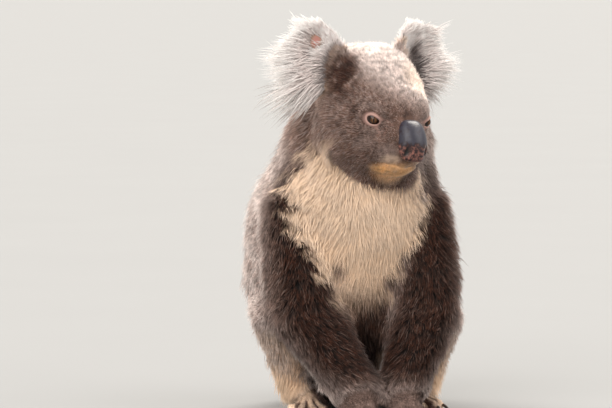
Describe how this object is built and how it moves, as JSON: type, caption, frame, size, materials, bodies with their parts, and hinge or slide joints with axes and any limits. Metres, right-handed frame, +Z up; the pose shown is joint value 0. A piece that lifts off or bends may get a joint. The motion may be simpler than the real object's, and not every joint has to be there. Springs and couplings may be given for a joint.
{
  "type": "koala model",
  "caption": "Life-size still model of a sitting koala, head turned to its left, arms straight down in front, resting on hands, feet and rump.",
  "frame": {"origin": "middle of the whole animal's footprint, on the floor", "axes": "+Z up, -Y the way the body faces, +X the animal's left side"},
  "size_m": [0.2512, 0.3092, 0.4468],
  "materials": {
    "grey_fur": "soft, dense grey-brown fur",
    "dark_fur": "soft, dense dark brown fur",
    "pale_fur": "soft, creamy white fur",
    "ear_fur": "long, white fur over grey-brown",
    "nose": "bare slate-black skin, satin, finely pebbled",
    "eye": "wet, glossy brown eye",
    "claw": "dark horn, satin"
  },
  "bodies": {
    "root": {"chest": "pale_fur", "ear_left": "ear_fur", "ear_right": "ear_fur", "eye_left": "eye", "eye_right": "eye", "foot_claw_left_1": "claw", "foot_claw_left_2": "claw", "foot_claw_left_3": "claw", "foot_claw_left_4": "claw", "foot_claw_right_1": "claw", "foot_claw_right_2": "claw", "foot_claw_right_3": "claw", "foot_claw_right_4": "claw", "foot_left": "grey_fur", "foot_right": "grey_fur", "forearm_left": "dark_fur", "forearm_right": "dark_fur", "hand_claw_left_1": "claw", "hand_claw_left_2": "claw", "hand_claw_left_3": "claw", "hand_claw_left_4": "claw", "hand_claw_left_5": "claw", "hand_claw_right_1": "claw", "hand_claw_right_2": "claw", "hand_claw_right_3": "claw", "hand_claw_right_4": "claw", "hand_claw_right_5": "claw", "hand_left": "dark_fur", "hand_right": "dark_fur", "head": "grey_fur", "jaw": "pale_fur", "neck": "grey_fur", "nose": "nose", "rump": "grey_fur", "shin_left": "grey_fur", "shin_right": "grey_fur", "thigh_left": "grey_fur", "thigh_right": "grey_fur", "upper_arm_left": "dark_fur", "upper_arm_right": "dark_fur"}
  },
  "joints": []
}
